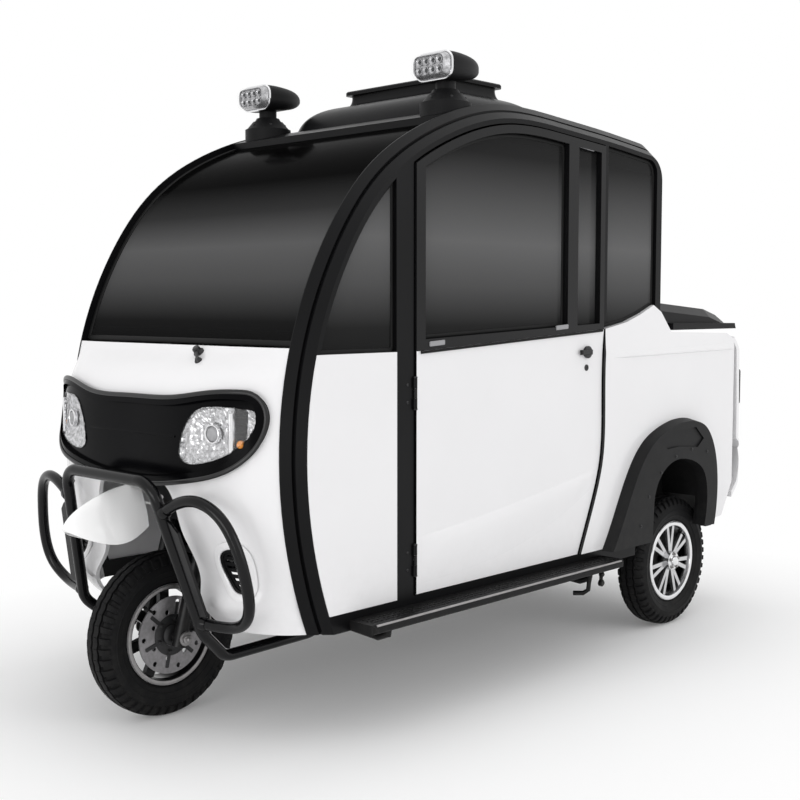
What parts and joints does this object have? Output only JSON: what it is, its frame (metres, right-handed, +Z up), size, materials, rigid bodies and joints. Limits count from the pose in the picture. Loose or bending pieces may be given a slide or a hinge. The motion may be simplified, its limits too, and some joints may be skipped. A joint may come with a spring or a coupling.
{
  "type": "enclosed electric auto rickshaw",
  "caption": "Enclosed electric auto rickshaw with curved cabin hoops, long side doors, a short covered rear bed, guard bar and roof lamps.",
  "frame": {"origin": "on the ground, on the centre line, at the middle of the vehicle's length", "axes": "+X to the vehicle's left, +Y to its rear, +Z up; the front faces -Y"},
  "size_m": [1.24, 2.6, 1.8634],
  "materials": {
    "black_steel": "satin",
    "white_body": "gloss",
    "black_paint": "gloss",
    "gloss_black": "gloss",
    "lamp_clear": "clear",
    "dark_glass": "tinted",
    "black_plastic": "matt",
    "lamp_red": "gloss",
    "seat_cover": "satin",
    "tyre_rubber": "matt",
    "alloy": "polished"
  },
  "bodies": {
    "chassis": {"chassis_frame": "black_steel", "floor_pan": "black_steel", "nose_panel": "white_body", "lamp_band": "gloss_black", "headlamps": "lamp_clear", "nose_vents": "black_plastic", "windscreen": "dark_glass", "side_frame_left": "black_paint", "side_frame_right": "black_paint", "roof_panel": "black_paint", "roof_cowl": "black_plastic", "roof_lamps": "black_plastic", "roof_lamp_lenses": "lamp_clear", "front_side_panels": "white_body", "quarter_glass": "dark_glass", "rear_body_left": "white_body", "rear_body_right": "white_body", "cabin_rear_wall": "black_paint", "rear_glass": "dark_glass", "bed_tub": "black_plastic", "tail_panel": "white_body", "tail_lamps": "lamp_red", "wheel_flares": "black_plastic", "running_boards": "black_plastic", "guard_bar": "black_steel", "dashboard": "black_plastic", "driver_seat": "seat_cover", "rear_bench": "seat_cover", "battery_box": "black_plastic", "rear_axle": "black_steel", "leaf_springs": "black_steel"},
    "door_left": {"door_left": "white_body", "door_glass_left": "dark_glass"},
    "door_right": {"door_right": "white_body", "door_glass_right": "dark_glass"},
    "bed_lid": {"bed_lid": "black_paint"},
    "steering": {"front_fork": "black_steel", "handlebar": "black_steel", "front_mudguard": "white_body"},
    "front_wheel": {"front_tyre": "tyre_rubber", "front_rim": "alloy"},
    "rear_wheel_left": {"rear_tyre_left": "tyre_rubber", "rear_rim_left": "alloy"},
    "rear_wheel_right": {"rear_tyre_right": "tyre_rubber", "rear_rim_right": "alloy"}
  },
  "joints": [
    {"name": "steering_turn", "type": "hinge", "parent": "chassis", "child": "steering", "pos_m": [0, -0.96999, 0.229], "axis": [0, 0.2756, 0.9613], "range_deg": [-30, 30]},
    {"name": "front_wheel_spin", "type": "hinge", "parent": "steering", "child": "front_wheel", "pos_m": [0, -0.996, 0.229], "axis": [1, 0, 0], "continuous": true},
    {"name": "rear_wheel_left_spin", "type": "hinge", "parent": "chassis", "child": "rear_wheel_left", "pos_m": [0.476, 0.824, 0.229], "axis": [1, 0, 0], "continuous": true},
    {"name": "rear_wheel_right_spin", "type": "hinge", "parent": "chassis", "child": "rear_wheel_right", "pos_m": [-0.476, 0.824, 0.229], "axis": [1, 0, 0], "continuous": true},
    {"name": "door_left_open", "type": "hinge", "parent": "chassis", "child": "door_left", "pos_m": [0.536, -0.5385, 1], "axis": [0, 0, -1], "range_deg": [0, 70]},
    {"name": "door_right_open", "type": "hinge", "parent": "chassis", "child": "door_right", "pos_m": [-0.536, -0.5385, 1], "axis": [0, 0, 1], "range_deg": [0, 70]},
    {"name": "bed_lid_open", "type": "hinge", "parent": "chassis", "child": "bed_lid", "pos_m": [0, 0.714, 1.158], "axis": [1, 0, 0], "range_deg": [0, 70]}
  ]
}
